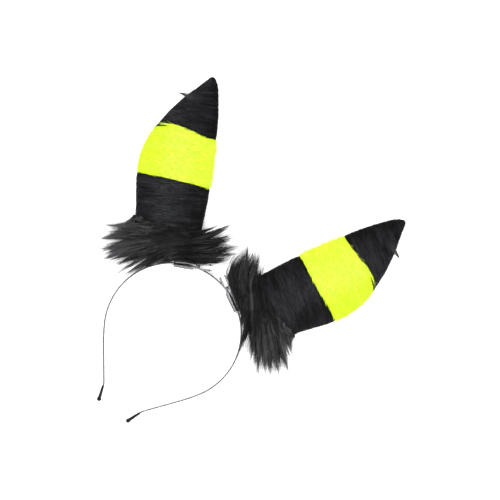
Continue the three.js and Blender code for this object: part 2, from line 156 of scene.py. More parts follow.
def handling_marks():
    """Soft smudges and a fine grain on bare metal and plastic."""
    outputs = {"Smudge": "Float", "Grain": "Float"}
    group, entry, out = new_group("handling_marks", {"Scale": "Float"}, outputs)
    place = group.nodes.new("ShaderNodeTexCoord")
    smudge = noise_node(group, 1.0, 3.0)
    grain = noise_node(group, 1.0, 2.0)
    finer = group.nodes.new("ShaderNodeMath")
    finer.operation = "MULTIPLY"
    finer.inputs[1].default_value = 9.0
    spread = group.nodes.new("ShaderNodeMapRange")
    spread.inputs["From Min"].default_value = 0.32
    spread.inputs["From Max"].default_value = 0.68
    link = group.links.new
    link(entry.outputs["Scale"], smudge.inputs["Scale"])
    link(entry.outputs["Scale"], finer.inputs[0])
    link(finer.outputs[0], grain.inputs["Scale"])
    link(place.outputs["Object"], smudge.inputs["Vector"])
    link(place.outputs["Object"], grain.inputs["Vector"])
    link(smudge.outputs["Fac"], spread.inputs["Value"])
    link(spread.outputs["Result"], out.inputs["Smudge"])
    link(grain.outputs["Fac"], out.inputs["Grain"])
    return group


marks_group = handling_marks()


def marked_material(name, clean, smudged, rough, scale, bump):
    """A bare hard surface whose colour and gloss change with its handling marks."""
    material, tree, shader = new_material(name)
    marks = tree.nodes.new("ShaderNodeGroup")
    marks.node_tree = marks_group
    marks.inputs["Scale"].default_value = scale
    colour = tree.nodes.new("ShaderNodeMix")
    colour.data_type = "RGBA"
    colour.inputs["A"].default_value = (*clean, 1)
    colour.inputs["B"].default_value = (*smudged, 1)
    gloss = tree.nodes.new("ShaderNodeMapRange")
    gloss.inputs["To Min"].default_value = rough[0]
    gloss.inputs["To Max"].default_value = rough[1]
    relief = tree.nodes.new("ShaderNodeBump")
    relief.inputs["Strength"].default_value = bump
    relief.inputs["Distance"].default_value = 0.05 * MM
    link = tree.links.new
    link(marks.outputs["Smudge"], colour.inputs["Factor"])
    link(marks.outputs["Smudge"], gloss.inputs["Value"])
    link(marks.outputs["Grain"], relief.inputs["Height"])
    link(colour.outputs["Result"], shader.inputs["Base Color"])
    link(gloss.outputs["Result"], shader.inputs["Roughness"])
    link(relief.outputs["Normal"], shader.inputs["Normal"])
    return material, shader


wire_steel, wire_shader = marked_material(
    "wire_steel",
    clean=(0.18, 0.183, 0.19),
    smudged=(0.11, 0.113, 0.12),
    rough=(0.26, 0.42),
    scale=260,
    bump=0.25,
)
wire_shader.inputs["Metallic"].default_value = 1.0
wire_shader.inputs["Specular Tint"].default_value = (0.05, 0.05, 0.05, 1)

right_line, flare_start, flare_heading = right_half_hoop()
left_line = right_line[:0:-1] * (-1, 1, 1)
wire_line = np.concatenate([left_line, right_line])
wire_points, wire_faces = turned(wire_line, np.full(len(wire_line), WIRE_RADIUS), WIRE_SIDES)
wire = new_piece("wire_hoop", wire_points, wire_faces, wire_steel)
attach(wire, "headband")
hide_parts("band_wire")


# End caps: soft black plastic sleeves with a ball end, pushed on to the flared ends of the wire so that
# nothing sharp meets the head. They are moulded, with a rounded mouth and a low sheen.
CAP_MOUTH = 1.05 * MM
CAP_NECK = 1.3 * MM
CAP_LIP = 0.18 * MM
CAP_SLEEVE = 10.4 * MM
CAP_START = 1.2 * MM
CAP_BALL = WIRE_LEVEL
CAP_FILLET = 5
CAP_SIDES = 28
MOUTH_STEPS = np.array((0, 0.04, 0.15, 0.45))
SLEEVE_STEPS = 24
BALL_STEPS = 12
BALL_END = math.radians(86)
SIDES = {"right": 1, "left": -1}


def ease(value, start, end):
    """Smooth step from 0 at the start to 1 at the end."""
    share = np.clip((value - start) / (end - start), 0, 1)
    return share * share * (3 - 2 * share)


def cap_profile():
    """Places along the cap from its mouth, with the radius at each: a sleeve that swells into a ball."""
    ball_at = CAP_SLEEVE + math.sqrt(CAP_BALL**2 - CAP_NECK**2)
    ball_end = ball_at + CAP_BALL * np.sin(np.linspace(0, BALL_END, BALL_STEPS))
    straight = np.linspace(CAP_LIP, ball_at, SLEEVE_STEPS)
    along = np.concatenate([MOUTH_STEPS * CAP_LIP, straight, ball_end[1:]])
    ball = np.sqrt(np.maximum(CAP_BALL**2 - (along - ball_at) ** 2, 0))
    sleeve = CAP_MOUTH + (CAP_NECK - CAP_MOUTH) * ease(along, 0, CAP_SLEEVE)
    sleeve *= 1 - ease(along, CAP_SLEEVE, ball_at)
    before_lip = np.clip(1 - along / CAP_LIP, 0, 1)
    sleeve -= CAP_LIP * (1 - np.sqrt(1 - before_lip**2))
    return along, (sleeve**CAP_FILLET + ball**CAP_FILLET) ** (1 / CAP_FILLET)


cap_plastic, cap_shader = marked_material(
    "cap_plastic",
    clean=(0.003, 0.003, 0.0035),
    smudged=(0.006, 0.006, 0.0066),
    rough=(0.34, 0.5),
    scale=420,
    bump=0.2,
)
cap_shader.inputs["Specular IOR Level"].default_value = 0.12

for side, hand in SIDES.items():
    along, radii = cap_profile()
    line = flare_start + (CAP_START + along)[:, None] * towards(flare_heading)
    points, faces = turned(line * (hand, 1, 1), radii, CAP_SIDES)
    cap = new_piece(f"end_cap_{side}", points, faces, cap_plastic)
    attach(cap, "headband")
    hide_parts(f"tip_cap_{side}")


# Hair clips: two stamped leaves of plated steel on a riveted pin, closed by a small coil spring. The ear
# is sewn to one leaf, the wire lies in the jaws, and a squeeze of the tails opens the other leaf.
CLIP_WELD = 0.004 * MM
LEAF_ROUNDING = 0.09 * MM
LEAF_CORNER = math.radians(40)
CLIP_PIECES = ("clip_plate", "clip_lever", "clip_pin", "clip_spring")
PIN_PLACE = np.array((15.696, 3.017, 7.4)) * MM
CLIP_SLOPE = math.radians(28.5)
CLIP_PITCH = math.radians(11)
# Painted shade by how far a face looks up: bright on walls and tops, and painted dark on the rolled rims
# between them, in place of the dark reflections they would catch
RIM_PAINTED_SHADE = ((0.55, 0.8), (0.8, 0), (0.935, 0), (0.972, 1))
# Lips turned along the leaves' upper edges, in millimetres: places along the clip from its pin, the edge's
# height there, where the lip starts, out towards the ear, and how far it reaches from there. Each is arched
# across, and its rims are lower than its middle by a share of its reach.
LIP_STEPS = 13
LIP_THICKNESS = 0.45
LIP_ARCH = np.linspace(-1, 1, 9)
RIM_DROP = 0.1
JAW = {"along": (2.5, 4, 9, 16, 20.5), "top": (3.5, 3.5, 3.19, 2.75, 2.47)}
TAIL = {"along": (-11.5, -10.5, -9, -3.5), "top": (2.45, 3.16, 3.5, 3.5)}
LIPS = (
    {"name": "plate_jaw", "edge": JAW, "out": (1.84, 1.87, 2.0, 1.6, 1.19), "reach": -1.4},
    {"name": "plate_tail", "edge": TAIL, "out": (2.04, 1.99, 1.9, 1.76), "reach": 1.3},
    {"name": "lever_jaw", "edge": JAW, "out": (-0.5, -0.55, -0.7, -0.4, -0.4), "reach": -3.1},
    {"name": "lever_tail", "edge": TAIL, "out": (-1.71, -1.72, -1.74, -1.8), "reach": -1.3},
)

clip_steel, clip_shader = marked_material(
    "clip_steel",
    clean=(0.4, 0.405, 0.415),
    smudged=(0.3, 0.304, 0.312),
    rough=(0.18, 0.26),
    scale=240,
    bump=0.1,
)
clip_shader.inputs["Metallic"].default_value = 1.0
clip_shader.inputs["Specular Tint"].default_value = (0.5, 0.5, 0.5, 1)


def paint_rim_shade(tree, shader, shaded_rim_colour):
    """Paints shade into bare metal along its rolled rims, in place of dark reflections, by the way that
    each face looks.
    """
    place = tree.nodes.new("ShaderNodeTexCoord")
    facing = tree.nodes.new("ShaderNodeSeparateXYZ")
    painted_lighting = tree.nodes.new("ShaderNodeValToRGB")
    stops = painted_lighting.color_ramp.elements
    for upward, share in RIM_PAINTED_SHADE:
        stops.new(upward).color = (share, share, share, 1)
    stops.remove(stops[0])
    stops.remove(stops[-1])
    colour = tree.nodes.new("ShaderNodeMix")
    colour.data_type = "RGBA"
    colour.inputs["A"].default_value = (*shaded_rim_colour, 1)
    marked = shader.inputs["Base Color"].links[0].from_socket
    link = tree.links.new
    link(place.outputs["Normal"], facing.inputs["Vector"])
    link(facing.outputs["Z"], painted_lighting.inputs["Fac"])
    link(painted_lighting.outputs["Color"], colour.inputs["Factor"])
    link(marked, colour.inputs["B"])
    link(colour.outputs["Result"], shader.inputs["Base Color"])


# The clip's rolled rims get painted shade: a near-black colour in place of dark reflections
paint_rim_shade(clip_steel.node_tree, clip_shader, shaded_rim_colour=(0.03, 0.0305, 0.0315))


def stamped_edges(piece):
    """Gives a stamped piece its small rounded edges."""
    rounding = piece.modifiers.new("stamped_edges", "BEVEL")
    rounding.width = LEAF_ROUNDING
    rounding.segments = 2
    rounding.limit_method = "ANGLE"
    rounding.angle_limit = LEAF_CORNER
    piece.modifiers.new("flat_faces", "WEIGHTED_NORMAL")


def lip_bar(lip, hand):
    """Points and faces of the lip that is turned along part of a leaf's upper edge."""
    knots = lip["edge"]["along"]
    along = np.linspace(knots[0], knots[-1], LIP_STEPS)
    out = np.interp(along, knots, lip["out"])
    top = np.interp(along, knots, lip["edge"]["top"])
    edge = out + lip["reach"]
    corners = [(out, top - LIP_THICKNESS), (edge, top - LIP_THICKNESS)]
    for share in LIP_ARCH:
        across = edge + (out - edge) * (share + 1) / 2
        corners.append((across, top - RIM_DROP * abs(lip["reach"]) * share**2))
    rings = np.stack([np.stack([along, across, height], axis=1) for across, height in corners], axis=1)
    sides = len(corners)
    tail_up = Matrix.Rotation(CLIP_PITCH, 3, "Y")
    turn = np.array(Matrix.Rotation(-CLIP_SLOPE, 3, "Z") @ tail_up)
    points = (PIN_PLACE + rings.reshape(-1, 3) * MM @ turn.T) * (hand, 1, 1)
    last = sides * (LIP_STEPS - 1)
    faces = [tuple(reversed(range(sides))), tuple(range(last, last + sides))]
    for ring in range(0, last, sides):
        for k in range(sides):
            after = (k + 1) % sides
            faces.append((ring + k, ring + after, ring + sides + after, ring + sides + k))
    return points, faces


for side, hand in SIDES.items():
    for kind in CLIP_PIECES:
        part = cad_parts[f"{kind}_{side}"]
        part.data.materials.clear()
        part.data.materials.append(clip_steel)
        part.data.shade_smooth()
        weld = part.modifiers.new("joined_faces", "WELD")
        weld.merge_threshold = CLIP_WELD
        if kind != "clip_spring":
            stamped_edges(part)
    for lip in LIPS:
        turned_lip = new_piece(f"clip_{lip['name']}_lip_{side}", *lip_bar(lip, hand), clip_steel)
        stamped_edges(turned_lip)
        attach(turned_lip, f"lever_{side}" if lip["name"].startswith("lever") else "headband")


# Ear panels: short-pile plush in black and bright yellow, sewn end to end into one padded sleeve for each
# ear. The pile is brushed from the inner edge across the face to the outer edge, and laps over the seams.
EAR_FOOT = np.array((40, 7.7, 0)) * MM
EAR_LEAN = math.radians(24)
FREE_END = 130 * MM
OVERHEAD = 60 * MM
FLOOR_GAP = 0.3 * MM
SKIN_WELD = 0.01 * MM
FLAT_ANGLE = math.radians(35)
SQUARE_ANGLE = math.radians(60)
SEAM_ANGLE = math.radians(50)
SEWN_FACING = 0.5
SEAM_FACING = 0.75
SEAM_LAP = 0.25 * MM
SEAM_REACH = 4.5 * MM
# Painted shade on the pile at the ear's edges: none where the skin's normal rises above the first height,
# full below the second
RIM_SHADE_FACING = (0.9, 0.3)
BACK_FACING = -0.5
BACK_SHARE = 0.4
# Strands of the pile: their section and their heights over the skin, and how much they differ
PILE_SEED = 1200
PILE_DEPTH = 0.3 * MM
PILE_HALF_WIDTHS = np.array((0.16, 0.17, 0.12)) * MM
PILE_HEIGHTS = np.array((-0.25, 0.25, 0.45, 0.6)) * MM
PILE_FLATNESS = 0.55
PILE_LENGTHS = (0.7, 1.15)
PILE_LOFTS = (0.65, 1.35)
PILE_WIDTHS = (0.8, 1.2)
PILE_SPREAD = 3.5
TONE_SPREAD = 0.14
TONE_LIMITS = (0.01, 0.99)
MAP_MARGIN = 0.02
SKIN_TONE = 0.25
# Unevenness of the brushed pile: its strength, and the width and length of its patches
LAP_WAVE = {"strength": 0.9, "width": 6 * MM, "length": 80 * MM}
PILE_BUNCHES = {"strength": 3, "width": 7 * MM, "length": 16 * MM}
PILE_STREAKS = (
    {"strength": 0.17, "width": 1.5 * MM, "length": 11 * MM},
    {"strength": 0.13, "width": 6 * MM, "length": 22 * MM},
)
# Lie of each panel's pile: tilt, laps over the seams and raggedness there in degrees, and length. Its tones
# are given at places across the ear, from 0 for the darkest strand to 1 for the lightest, and carry painted
# light: lighter on the crown of the padded face and darker towards its edges. Its rim and seam shades are
# painted shade, on strands where the face turns down at its edges and along its seams, its contrast scales
# its streaks, and its fuzz is the number of loose ends along its edges.
TONE_PLACES = np.array((-13, -6, 0, 8, 20, 28, 34, 42)) * MM
PANELS = (
    {
        "node": "ear_lower", "slot": "black_plush", "strands": 5600, "length": 7.0, "tilt": -7,
        "lap_top": -5, "lap_bottom": 0, "ragged": 2, "painted_rim_shade": 0.45, "seam_shade": 0.3, "contrast": 1.0,
        "fuzz": 0, "tones": (0.24, 0.16, 0.36, 0.74, 0.90, 0.48, 0.26, 0.28),
    },
    {
        "node": "ear_band", "slot": "yellow_plush", "strands": 5600, "length": 7.0, "tilt": -5,
        "lap_top": 6, "lap_bottom": 4, "ragged": 6, "painted_rim_shade": 0.1, "seam_shade": 0.2, "contrast": 0.5,
        "fuzz": 1100, "tones": (0.50, 0.40, 0.55, 0.80, 0.85, 0.50, 0.25, 0.20),
    },
    {
        "node": "ear_tip", "slot": "black_plush", "strands": 3900, "length": 6.5, "tilt": -6,
        "lap_top": 0, "lap_bottom": -6, "ragged": 2, "painted_rim_shade": 0.3, "seam_shade": 0.2, "contrast": 0.8,
        "fuzz": 0, "tones": (0.26, 0.16, 0.20, 0.37, 0.46, 0.64, 0.64, 0.60),
    },
)
# Loose ends that stand out from a panel's edges, and the spread of tones in all loose strands
FUZZ_LENGTH = 1.7 * MM
FUZZ_LIMIT = 2.4
FUZZ_LEAN = 0.3
FUZZ_FACING = 0.5
FUZZ_TONE = 0.6
FUZZ_WIDTH = 0.5
FUZZ_STATIONS = np.array((-0.2, 0.4, 0.75, 1.0))
LOOSE_SPREAD = 0.15
# Wisps that lie over the next panel's pile: root's place on the ear, its spread and the length in
# millimetres, and heading and fan in degrees
WISP_ROOTS = (-2, 1)
WISP_WIDTH = 0.9
WISPS = (
    {
        "node": "ear_tip", "across": 30.5, "along": 96.1, "heading": -9, "length": 17, "count": 70,
        "root_spread": 0.12, "fan": 3.2, "loft": 1.9, "tone": 0.2,
    },
    {
        "node": "ear_band", "across": 25, "along": 97.7, "heading": -8, "length": 17, "count": 10,
        "root_spread": 0.3, "fan": 0.5, "loft": 2.1, "tone": 0.9,
    },
)
# The pointed wisp that sticks out beside each tip, in millimetres: root's place, length, widths, height of
# its point, and the rise and hook along the ear with which its free half bends
SPIKE = {
    "across": 9, "along": 123.9, "length": 22, "root_spread": 2.3, "tip_spread": 0.2, "tip_height": 3.4,
    "rise": 3.6, "hook": 2.4, "tone": 0.95,
}
SPIKE_STRANDS = 55
SPIKE_STATIONS = np.array((0, 0.5, 0.78, 1.0))
SPIKE_HEIGHTS = np.array((-0.2, 1.0, 1.0, 1.0)) * MM
SPIKE_LOFTS = (0.8, 1.2)
SPIKE_LIFT = 1.6 * MM
SPIKE_REACH = (0.6, 1.0)
SPIKE_ROOTS = (-2, 2)


class EarPlace:
    """Where one ear stands: its foot, the way across it to its outer edge, and the way up to its tip."""

    def __init__(self, hand):
        self.hand = hand
        self.foot = EAR_FOOT * (hand, 1, 1)
        self.across = np.array((hand * math.cos(EAR_LEAN), -math.sin(EAR_LEAN), 0))
        self.along = np.array((hand * math.sin(EAR_LEAN), math.cos(EAR_LEAN), 0))

    def at(self, across, along, height):
        flat = np.multiply.outer(across, self.across) + np.multiply.outer(along, self.along)
        return self.foot + flat + np.multiply.outer(height, (0, 0, 1))

    def measure(self, points):
        return (points - self.foot) @ self.across, (points - self.foot) @ self.along


def unit(vectors):
    return vectors / np.maximum(np.linalg.norm(vectors, axis=-1, keepdims=True), 1e-12)


class Skin:
    """A surface that pile grows on, with the middle, normal and area of each of its triangles."""

    def __init__(self, points, faces):
        self.points = points
        self.faces = faces
        corners = np.array([(f[0], f[k], f[k + 1]) for f in faces for k in range(1, len(f) - 1)])
        self.corners = points[corners]
        cross = np.cross(self.corners[:, 1] - self.corners[:, 0], self.corners[:, 2] - self.corners[:, 0])
        self.middles = self.corners.mean(axis=1)
        self.normals = unit(cross)
        self.areas = np.linalg.norm(cross, axis=1) / 2

    def scatter(self, rng, density, count):
        """Random roots, with the normal at each. density has a value for each triangle."""
        shares = self.areas * density
        pick = rng.choice(len(shares), count, p=shares / shares.sum())
        one, two = rng.random((2, count, 1))
        fold = one + two > 1
        one, two = np.where(fold, 1 - one, one), np.where(fold, 1 - two, two)
        first, second, third = self.corners[pick].transpose(1, 0, 2)
        return first + one * (second - first) + two * (third - first), self.normals[pick]


def padded_skin(ear, node):
    """The node's form as a smooth skin, drawn in to leave room for the pile and closed up at its seams."""
    shell = bmesh.new()
    shell.from_mesh(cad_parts[node].data)
    bmesh.ops.remove_doubles(shell, verts=shell.verts[:], dist=SKIN_WELD)
    bmesh.ops.join_triangles(
        shell,
        faces=shell.faces[:],
        angle_face_threshold=FLAT_ANGLE,
        angle_shape_threshold=SQUARE_ANGLE,
    )
    crease = shell.edges.layers.float.new("crease_edge")
    for edge in shell.edges:
        if edge.is_manifold and edge.calc_face_angle() > SEAM_ANGLE:
            edge[crease] = 1.0
    coarse = bpy.data.meshes.new(node + "_coarse")
    shell.to_mesh(coarse)
    shell.free()
    form = placed(node + "_form", coarse)
    form.modifiers.new("rounding", "SUBSURF").levels = 2
    fine = bpy.data.meshes.new_from_object(form.evaluated_get(bpy.context.evaluated_depsgraph_get()))
    bpy.data.objects.remove(form)
    points = np.array([v.co for v in fine.vertices])
    normals = np.array([v.vector for v in fine.vertex_normals])
    faces = [tuple(face.vertices) for face in fine.polygons]
    bpy.data.meshes.remove(fine)
    bpy.data.meshes.remove(coarse)
    facing = normals @ ear.along
    sewn = (np.abs(facing) > SEWN_FACING) & (ear.measure(points)[1] < FREE_END)
    endwise = np.where(sewn, facing, 0)[:, None] * ear.along
    lap = np.where(sewn, np.sign(facing), 0)[:, None] * ear.along
    return Skin(points - PILE_DEPTH * (normals - endwise) + SEAM_LAP * lap, faces)


def on_skin(tree, points):
    """Nearest places on a skin, with their normals."""
    found = [tree.find_nearest(Vector(p)) for p in points]
    return np.array([f[0] for f in found]), np.array([f[1] for f in found])


def skin_height(tree, points):
    """Height of a skin under or over each point, or below the floor where there is none."""
    down = Vector((0, 0, -1))
    heights = []
    for x, y in points[:, :2]:
        hit = tree.ray_cast(Vector((x, y, OVERHEAD)), down)[0]
        heights.append(hit.z if hit else -MM)
    return np.array(heights)


def seam_distances(ear, skin, across, along):
    """How far places are from the seam at a panel's top and from the one at its bottom."""
    facing = skin.normals @ ear.along
    distances = []
    for way in (1, -1):
        seam = skin.middles[(facing * way > SEAM_FACING) & (ear.measure(skin.middles)[1] < FREE_END)]
        if not len(seam):
            distances.append(np.full(len(across), np.inf))
            continue
        seam_across, seam_along = ear.measure(seam)
        order = np.argsort(seam_across)
        level = np.interp(across, seam_across[order], seam_along[order])
        distances.append(np.maximum(way * (level - along), 0))
    return distances


def brushed_noise(rng, along, across, strength, width, length):
    """Smooth random values, drawn out across the ear the way that the pile is brushed."""
    row, column = (along - along.min()) / width, (across - across.min()) / length
    first, second = row.astype(int), column.astype(int)
    grid = rng.normal(size=(first.max() + 2, second.max() + 2))
    up, out = ease(row - first, 0, 1), ease(column - second, 0, 1)
    near = grid[first, second] * (1 - up) + grid[first + 1, second] * up
    far = grid[first, second + 1] * (1 - up) + grid[first + 1, second + 1] * up
    return strength * (near * (1 - out) + far * out)


def strand_faces(stations):
    """Faces of one three-sided strand, counted from its first point, and their sizes."""
    faces = [(0, 1, 2)]
    for ring in range(0, 3 * (stations - 2), 3):
        for k in range(3):
            after = (k + 1) % 3
            faces.append((ring + k, ring + 3 + k, ring + 3 + after, ring + after))
    last, tip = 3 * (stations - 2), 3 * (stations - 1)
    for k in range(3):
        faces.append((last + k, tip, last + (k + 1) % 3))
    return np.concatenate(faces), np.array([len(f) for f in faces])


class Furry:
    """Collects a skin and its strands, and makes one piece of them."""

    def __init__(self, skin, tone):
        loops = np.concatenate(skin.faces)
        self.points = [skin.points]
        self.loops = [loops]
        self.sizes = [np.array([len(f) for f in skin.faces])]
        self.maps = [np.tile((tone, MAP_MARGIN), (len(loops), 1))]
        self.count = len(skin.points)

    def add(self, lines, ups, halves, tones):
        """Strands along lines of stations: half widths at all but the tip, and one tone each."""
        strands, stations = lines.shape[:2]
        ahead = unit(np.gradient(lines, axis=1))
        level = unit(np.cross(ahead, ups))
        lift = np.cross(level, ahead)
        wide = halves[..., None] * level[:, :-1]
        high = halves[..., None] * lift[:, :-1] * 2 * PILE_FLATNESS
        middle = lines[:, :-1]
        rings = np.stack([middle - wide, middle + wide, middle + high], axis=2)
        points = np.concatenate([rings.reshape(strands, -1, 3), lines[:, -1:]], axis=1)
        faces, sizes = strand_faces(stations)
        starts = self.count + points.shape[1] * np.arange(strands)
        share = np.append(np.repeat(np.linspace(0, 1, stations)[:-1], 3), 1.0)
        tone_of_loop = np.repeat(np.clip(tones, *TONE_LIMITS), len(faces))
        share_of_loop = np.tile(MAP_MARGIN + (1 - 2 * MAP_MARGIN) * share[faces], strands)
        self.points.append(points.reshape(-1, 3))
        self.loops.append((starts[:, None] + faces).ravel())
        self.sizes.append(np.tile(sizes, strands))
        self.maps.append(np.stack([tone_of_loop, share_of_loop], axis=1))
        self.count += strands * points.shape[1]

    def piece(self, name, material):
        points = np.concatenate(self.points)
        points[:, 2] = np.maximum(points[:, 2], 0)
        loops = np.concatenate(self.loops).astype(np.int32)
        sizes = np.concatenate(self.sizes)
        starts = np.concatenate([[0], np.cumsum(sizes)[:-1]]).astype(np.int32)
        mesh = bpy.data.meshes.new(name)
        mesh.vertices.add(len(points))
        mesh.vertices.foreach_set("co", points.ravel())
        mesh.loops.add(len(loops))
        mesh.loops.foreach_set("vertex_index", loops)
        mesh.polygons.add(len(starts))
        mesh.polygons.foreach_set("loop_start", starts)
        mesh.update(calc_edges=True)
        mesh.shade_smooth()
        mesh.uv_layers.new(name="OFBake").data.foreach_set("uv", np.concatenate(self.maps).ravel())
        mesh.materials.append(material)
        return placed(name, mesh)


def pile_colour():
    """Colour and gloss of pile from each strand's own tone, with painted shade darkening it from tip to
    root, and broad patches.
    """
    inputs = {"Dark": "Color", "Light": "Color", "Root Shade": "Float", "Patch Shade": "Float"}
    group, entry, out = new_group("pile_colour", inputs, {"Colour": "Color", "Roughness": "Float"})
    strand = group.nodes.new("ShaderNodeUVMap")
    strand.uv_map = "OFBake"
    parts = group.nodes.new("ShaderNodeSeparateXYZ")
    tint = group.nodes.new("ShaderNodeMix")
    tint.data_type = "RGBA"
    root = group.nodes.new("ShaderNodeMapRange")
    root.inputs["From Max"].default_value = 0.7
    place = group.nodes.new("ShaderNodeTexCoord")
    patches = noise_node(group, 70.0, 2.0)
    patch = group.nodes.new("ShaderNodeMapRange")
    patch.inputs["From Min"].default_value = 0.3
    patch.inputs["From Max"].default_value = 0.7
    shade = group.nodes.new("ShaderNodeMath")
    shade.operation = "MULTIPLY"
    shaded = group.nodes.new("ShaderNodeVectorMath")
    shaded.operation = "SCALE"
    gloss = group.nodes.new("ShaderNodeMapRange")
    gloss.inputs["To Min"].default_value = 0.72
    gloss.inputs["To Max"].default_value = 0.42
    link = group.links.new
    link(strand.outputs["UV"], parts.inputs["Vector"])
    link(parts.outputs["X"], tint.inputs["Factor"])
    link(entry.outputs["Dark"], tint.inputs["A"])
    link(entry.outputs["Light"], tint.inputs["B"])
    link(parts.outputs["Y"], root.inputs["Value"])
    link(entry.outputs["Root Shade"], root.inputs["To Min"])
    link(place.outputs["Object"], patches.inputs["Vector"])
    link(patches.outputs["Fac"], patch.inputs["Value"])
    link(entry.outputs["Patch Shade"], patch.inputs["To Min"])
    link(root.outputs["Result"], shade.inputs[0])
    link(patch.outputs["Result"], shade.inputs[1])
    link(tint.outputs["Result"], shaded.inputs[0])
    link(shade.outputs[0], shaded.inputs["Scale"])
    link(parts.outputs["X"], gloss.inputs["Value"])
    link(shaded.outputs["Vector"], out.inputs["Colour"])
    link(gloss.outputs["Result"], out.inputs["Roughness"])
    return group


pile_group = pile_colour()


def pile_material(name, dark, light, root_shade, patch_shade, shine):
    """A material for strands, from the colours of their darkest and lightest tones."""
    material, tree, shader = new_material(name)
    shader.inputs["Specular IOR Level"].default_value = shine
    pile = tree.nodes.new("ShaderNodeGroup")
    pile.node_tree = pile_group
    pile.inputs["Dark"].default_value = (*dark, 1)
    pile.inputs["Light"].default_value = (*light, 1)
    pile.inputs["Root Shade"].default_value = root_shade
    pile.inputs["Patch Shade"].default_value = patch_shade
    tree.links.new(pile.outputs["Colour"], shader.inputs["Base Color"])
    tree.links.new(pile.outputs["Roughness"], shader.inputs["Roughness"])
    return material, shader


black_plush, _ = pile_material(
    "black_plush",
    dark=(0.002, 0.0021, 0.0026),
    light=(0.045, 0.046, 0.051),
    root_shade=0.5,
    patch_shade=0.7,
    shine=0.1,
)
yellow_plush, yellow_shader = pile_material(
    "yellow_plush",
    dark=(0.60, 0.78, 0.016),
    light=(0.68, 0.83, 0.095),
    root_shade=0.9,
    patch_shade=0.95,
    shine=0.1,
)
# A faint glow is painted into the yellow pile: painted light that lifts it out of its own shade, standing
# in partly for its fluorescent dye
yellow_shader.inputs["Emission Color"].default_value = (0.7, 1.0, 0.03, 1)
yellow_shader.inputs["Emission Strength"].default_value = 0.08
plush = {"black_plush": black_plush, "yellow_plush": yellow_plush}


def pile_lines(rng, ear, tree, roots, normals, length, tilts, loft):
    """Strands that lie along a skin, from their roots round the ear the way that the pile is brushed."""
    place, normal = roots, normals
    lines = [place + PILE_HEIGHTS[0] * normal]
    ups = [normal]
    lengths = length * rng.uniform(*PILE_LENGTHS, len(roots))
    loft = loft * rng.uniform(*PILE_LOFTS, len(roots))
    step = (lengths / (len(PILE_HEIGHTS) - 1))[:, None]
    for height in PILE_HEIGHTS[1:]:
        around = unit(np.cross(ear.along, normal) * ear.hand)
        way = around * np.cos(tilts)[:, None] + ear.along * np.sin(tilts)[:, None]
        way = unit(way - (way * normal).sum(1, keepdims=True) * normal)
        place, normal = on_skin(tree, place + step * way)
        lines.append(place + (height * loft)[:, None] * normal)
        ups.append(normal)
    lines = np.stack(lines, axis=1)
    lines[..., 2] = np.maximum(lines[..., 2], FLOOR_GAP)
    return lines, np.stack(ups, axis=1)


def wisp_lines(rng, ear, tree, wisp):
    """A wisp that lies over the pile and fans out or stays together as it goes round the ear."""
    count = wisp["count"]
    aside = rng.normal(0, 1, count)
    across = (wisp["across"] + rng.uniform(*WISP_ROOTS, count)) * MM
    along = (wisp["along"] + wisp["root_spread"] * aside) * MM
    flat = ear.at(across, along, np.zeros(count))
    roots, normals = on_skin(tree, flat + np.multiply.outer(skin_height(tree, flat), (0, 0, 1)))
    tilts = np.radians(wisp["heading"] + wisp["fan"] * aside)
    return pile_lines(rng, ear, tree, roots, normals, wisp["length"] * MM, tilts, wisp["loft"])


def spike_lines(rng, ear, tree):
    """The wisp whose strands leave the ear's edge and draw together to one point."""
    aside = rng.normal(0, 1, SPIKE_STRANDS)
    reach = SPIKE["length"] * rng.uniform(*SPIKE_REACH, SPIKE_STRANDS)
    start = rng.uniform(*SPIKE_ROOTS, SPIKE_STRANDS)
    lines = []
    for share in SPIKE_STATIONS:
        ahead = start + reach * share
        gone = np.clip(ahead / SPIKE["length"], 0, 1)
        sideways = aside * (SPIKE["root_spread"] + (SPIKE["tip_spread"] - SPIKE["root_spread"]) * gone)
        free = np.clip(2 * gone - 1, 0, 1)
        sideways += SPIKE["rise"] * free - SPIKE["hook"] * free**2
        across, along = SPIKE["across"] + ahead, SPIKE["along"] + sideways
        lines.append(ear.at(across * MM, along * MM, np.zeros(SPIKE_STRANDS)))
    lines = np.stack(lines, axis=1)
    ground = skin_height(tree, lines.reshape(-1, 3)).reshape(lines.shape[:2])
    level = ground[:, :1] + (SPIKE["tip_height"] * MM - ground[:, :1]) * SPIKE_STATIONS
    lift = SPIKE_HEIGHTS * rng.uniform(*SPIKE_LOFTS, (SPIKE_STRANDS, 1))
    lying = np.maximum(ground + lift, np.minimum(level, ground + SPIKE_LIFT))
    lines[..., 2] = np.where(ground > 0, lying, level)
    return lines, np.broadcast_to((0.0, 0.0, 1.0), lines.shape)


def fuzz_lines(rng, ear, skin, count):
    """Loose ends of the pile that stand out all along a panel's edges."""
    upright = np.abs(skin.normals[:, 2]) < FUZZ_FACING
    roots, normals = skin.scatter(rng, pile_density(ear, skin) * upright, count)
    reach = FUZZ_LENGTH * np.minimum(rng.exponential(size=(count, 1)), FUZZ_LIMIT)
    lean = unit(normals + rng.normal(0, FUZZ_LEAN, (count, 3)))
    lines = roots[:, None] + (reach * FUZZ_STATIONS)[..., None] * lean[:, None]
    lines[..., 2] = np.maximum(lines[..., 2], FLOOR_GAP)
    return lines, np.broadcast_to((0.0, 0.0, 1.0), lines.shape)


def pile_density(ear, skin):
    """Density of the pile: none on the faces inside a seam, and less on the back."""
    facing = np.abs(skin.normals @ ear.along)
    inside = (facing > SEAM_FACING) & (ear.measure(skin.middles)[1] < FREE_END)
    return np.where(inside, 0, np.where(skin.normals[:, 2] < BACK_FACING, BACK_SHARE, 1.0))


